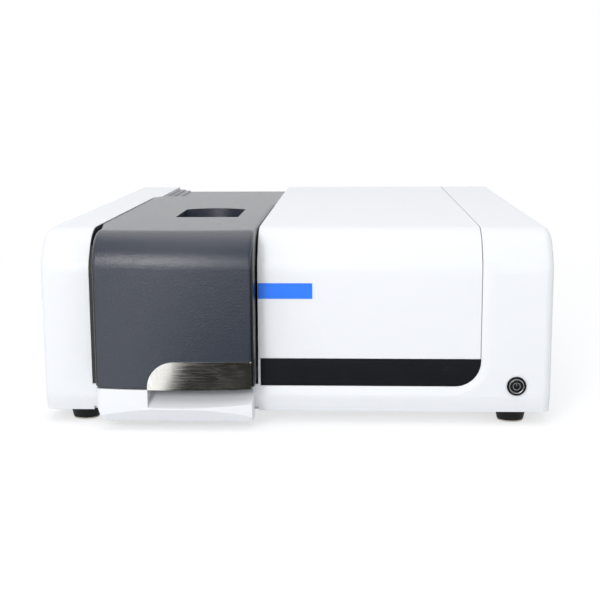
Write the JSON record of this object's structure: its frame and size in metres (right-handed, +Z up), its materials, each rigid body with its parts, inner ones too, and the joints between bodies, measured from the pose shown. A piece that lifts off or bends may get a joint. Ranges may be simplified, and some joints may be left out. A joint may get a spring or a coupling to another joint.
{
  "type": "uv-vis spectrophotometer",
  "caption": "Bench spectrophotometer with a hinged sample lid over a front bay, lift-off optics cover, power button, and optics, grating drive and electronics inside.",
  "frame": {"origin": "on the table, below the middle of the instrument's box", "axes": "+X to the user's right, +Y from the front to the rear, +Z up"},
  "size_m": [0.477, 0.567, 0.184],
  "materials": {
    "white_plastic": "fine satin moulded",
    "charcoal_plastic": "fine grained satin",
    "black_plastic": "semi-gloss",
    "black_liner": "matt, light absorbing",
    "brushed_stainless": "brushed along the length",
    "bright_ring": "polished",
    "blue_label": "printed film",
    "white_print": "print",
    "black_rubber": "matt",
    "pale_pad": "matt",
    "foam_seal": "foam",
    "anodised_aluminium": "satin anodised",
    "black_anodised": "matt black anodised",
    "cast_aluminium": "cast",
    "zinc_steel": "zinc plated",
    "grey_panel_paint": "powder coated",
    "front_mirror": "aluminised",
    "silica_glass": "polished",
    "filter_glass": "coloured glass",
    "circuit_green": "solder mask",
    "belt_rubber": "toothed belt",
    "sheet_zinc": "zinc coated sheet"
  },
  "bodies": {
    "instrument": {"accessory_base_plate": "black_anodised", "base_tray": "sheet_zinc", "beam_splitter": "silica_glass", "bench_isolators": "black_rubber", "black_inlay_strip": "black_plastic", "blank_label": "blue_label", "case_screws": "zinc_steel", "cell_holder": "black_anodised", "cell_holder_screws": "zinc_steel", "collimating_mirror": "front_mirror", "data_socket": "zinc_steel", "filter_wheel_motor": "zinc_steel", "flash_lamp": "silica_glass", "focusing_mirror": "front_mirror", "fold_mirror": "front_mirror", "foot_pads": "pale_pad", "front_plinth": "white_plastic", "grating_bearing": "zinc_steel", "grating_belt": "belt_rubber", "grating_motor": "black_anodised", "hinge_fixed_leaves": "black_anodised", "lamp_housing": "black_anodised", "lamp_mirror": "front_mirror", "lid_seal": "foam_seal", "main_casing": "white_plastic", "main_circuit_board": "circuit_green", "mains_inlet": "black_plastic", "mirror_mounts": "black_anodised", "monochromator_cover": "white_plastic", "monochromator_slits": "black_anodised", "optics_bench": "cast_aluminium", "photodiode": "zinc_steel", "power_button_bezel": "black_plastic", "power_button_ring": "bright_ring", "power_supply": "sheet_zinc", "power_switch_body": "black_plastic", "rear_lid_panel": "charcoal_plastic", "rear_panel": "grey_panel_paint", "reference_detector": "black_anodised", "rubber_feet": "black_rubber", "sample_detector": "black_anodised", "sample_tub": "black_liner", "sample_windows": "silica_glass", "window_rings": "black_anodised"},
    "lid": {"lid_frame": "black_plastic", "lid_front_skin": "charcoal_plastic", "lid_top_panel": "charcoal_plastic", "lid_handle": "brushed_stainless", "lid_handle_screws": "zinc_steel", "hinge_moving_leaves": "black_anodised", "hinge_pins": "zinc_steel"},
    "power_button": {"power_button_cap": "black_plastic", "power_symbol": "white_print"},
    "grating_table": {"grating_turntable": "anodised_aluminium", "diffraction_grating": "front_mirror"},
    "drive_pulley": {"motor_pulley": "anodised_aluminium"},
    "filter_disc": {"filter_wheel": "anodised_aluminium", "order_filters": "filter_glass"},
    "fuse_carrier": {"fuse_drawer": "black_plastic", "fuses": "silica_glass"}
  },
  "joints": [
    {"name": "lid_hinge", "type": "hinge", "parent": "instrument", "child": "lid", "pos_m": [-0.11, 0.1215, 0.1803], "axis": [-1, 0, 0], "range_deg": [0, 75]},
    {"name": "power_button_push", "type": "slide", "parent": "instrument", "child": "power_button", "axis": [0, 1, 0], "range_m": [0, 0.0025], "stiffness_N_per_m": 400},
    {"name": "grating_turn", "type": "hinge", "parent": "instrument", "child": "grating_table", "pos_m": [0.11982, -0.095, 0.058], "axis": [0, 0, 1], "range_deg": [-20, 35]},
    {"name": "motor_pulley_turn", "type": "hinge", "parent": "instrument", "child": "drive_pulley", "pos_m": [0.1719, -0.095, 0.058], "axis": [0, 0, 1], "range_deg": [-61, 106]},
    {"name": "filter_wheel_spin", "type": "hinge", "parent": "instrument", "child": "filter_disc", "pos_m": [0.149, -0.176, 0.09], "axis": [1, 0, 0], "continuous": true},
    {"name": "fuse_drawer_slide", "type": "slide", "parent": "instrument", "child": "fuse_carrier", "axis": [0, 1, 0], "range_m": [0, 0.012]}
  ],
  "couplings": [
    {"joint": "motor_pulley_turn", "follows": "grating_turn", "ratio": 3}
  ]
}
